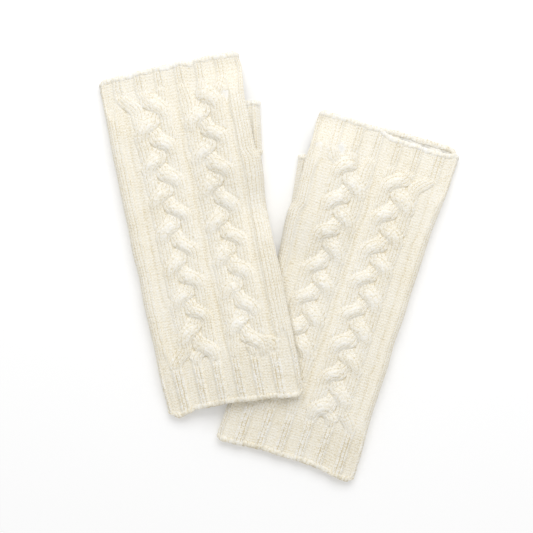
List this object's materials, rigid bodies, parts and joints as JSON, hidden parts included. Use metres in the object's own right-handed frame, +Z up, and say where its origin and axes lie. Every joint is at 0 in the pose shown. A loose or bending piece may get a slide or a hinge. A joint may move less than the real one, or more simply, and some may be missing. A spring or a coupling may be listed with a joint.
{
  "type": "fingerless gloves",
  "caption": "Cable-knit fingerless gloves laid flat, each a ribbed tube with a separate thumb sleeve, the left one draped over the right.",
  "frame": {"origin": "on the table, under the middle of the pair's outline", "axes": "+Z up from the table through the backs of the gloves, +Y from the wrist ends towards the finger ends, +X to the viewer's right when seen from above, with the left glove on the left"},
  "size_m": [0.2418, 0.2856, 0.0226],
  "materials": {
    "cable_knit": "matt cream wool, cable knit",
    "palm_knit": "matt cream wool, plain knit",
    "rib_knit": "matt cream wool, ribbed",
    "thumb_knit": "matt cream wool, fine rib",
    "edge_yarn": "matt cream wool, cast-on and bind-off loops",
    "seam_yarn": "matt cream wool, linked seam"
  },
  "bodies": {
    "right_glove": {"right_back_panel": "cable_knit", "right_palm_panel": "palm_knit", "right_outer_side_seam": "seam_yarn", "right_thumb_side_seam": "seam_yarn", "right_wrist_cuff": "rib_knit", "right_finger_band": "rib_knit", "right_wrist_edge": "edge_yarn", "right_finger_edge": "edge_yarn", "right_thumb_seam": "seam_yarn"},
    "right_thumb": {"right_thumb_sleeve": "thumb_knit", "right_thumb_edge": "edge_yarn"},
    "left_glove": {"left_back_panel": "cable_knit", "left_palm_panel": "palm_knit", "left_outer_side_seam": "seam_yarn", "left_thumb_side_seam": "seam_yarn", "left_wrist_cuff": "rib_knit", "left_finger_band": "rib_knit", "left_wrist_edge": "edge_yarn", "left_finger_edge": "edge_yarn", "left_thumb_seam": "seam_yarn"},
    "left_thumb": {"left_thumb_sleeve": "thumb_knit", "left_thumb_edge": "edge_yarn"}
  },
  "joints": [
    {"name": "left_glove_lift", "type": "slide", "parent": "right_glove", "child": "left_glove", "axis": [0, 0, 1], "range_m": [0, 0.06]},
    {"name": "right_thumb_swing", "type": "hinge", "parent": "right_glove", "child": "right_thumb", "pos_m": [0.00816, 0.04394, 0.0046], "axis": [0, 0, 1], "range_deg": [0, 30]},
    {"name": "left_thumb_swing", "type": "hinge", "parent": "left_glove", "child": "left_thumb", "pos_m": [-0.01065, 0.07957, 0.0046], "axis": [0, 0, -1], "range_deg": [0, 30]}
  ]
}
